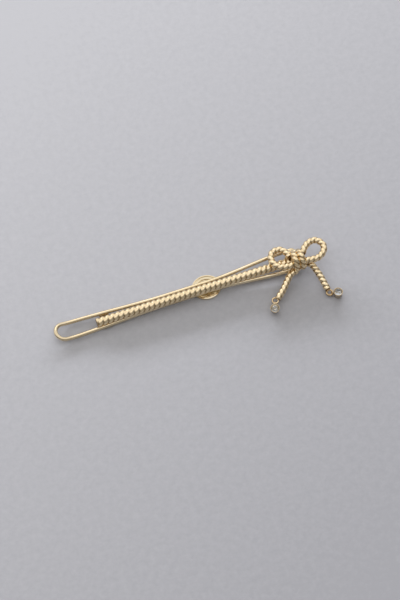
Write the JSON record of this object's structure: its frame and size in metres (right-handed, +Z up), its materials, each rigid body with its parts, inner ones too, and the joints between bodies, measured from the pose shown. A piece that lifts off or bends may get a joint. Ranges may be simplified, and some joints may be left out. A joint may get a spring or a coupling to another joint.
{
  "type": "hairpin",
  "caption": "Gilt hairpin: a rope-twist bar sprung shut on a long wire loop with an oval plate, and a rope bow with hanging stone drops over the hinge",
  "frame": {"origin": "centre of the flat underside of the oval plate", "axes": "+X along the bar from the loop's tip to the bow, +Y across the clip to the rear, +Z up from the rest face"},
  "size_m": [0.0712, 0.0173, 0.0063],
  "materials": {
    "gilt_metal": "pale gold plating, polished",
    "gilt_spring": "pale gold plating on spring wire",
    "clear_stone": "faceted clear crystal"
  },
  "bodies": {
    "bail": {"wire_bail": "gilt_metal", "oval_plate": "gilt_metal", "bridge_plate": "gilt_metal"},
    "bar": {"hinge_bracket": "gilt_metal", "torsion_spring": "gilt_spring", "rope_bar": "gilt_metal", "bow_left_loop": "gilt_metal", "bow_right_loop": "gilt_metal", "bow_knot": "gilt_metal", "left_tail": "gilt_metal", "right_tail": "gilt_metal", "left_end_ring": "gilt_metal", "right_end_ring": "gilt_metal"},
    "left_drop": {"left_bezel": "gilt_metal", "left_stone": "clear_stone"},
    "right_drop": {"right_bezel": "gilt_metal", "right_stone": "clear_stone"}
  },
  "joints": [
    {"name": "bar_hinge", "type": "hinge", "parent": "bail", "child": "bar", "pos_m": [0.0238, -0.00028, 0.00137], "axis": [0, 1, 0], "range_deg": [0, 40], "stiffness_Nm_per_rad": 0.02, "springref_deg": -20.05},
    {"name": "left_swing", "type": "hinge", "parent": "bar", "child": "left_drop", "pos_m": [0.01432, -0.01037, 0.0013], "axis": [0.9205, -0.3907, 0], "range_deg": [-65, 65]},
    {"name": "right_swing", "type": "hinge", "parent": "bar", "child": "right_drop", "pos_m": [0.02885, -0.01206, 0.00054], "axis": [0.5446, 0.8387, 0], "range_deg": [-45, 85]}
  ]
}
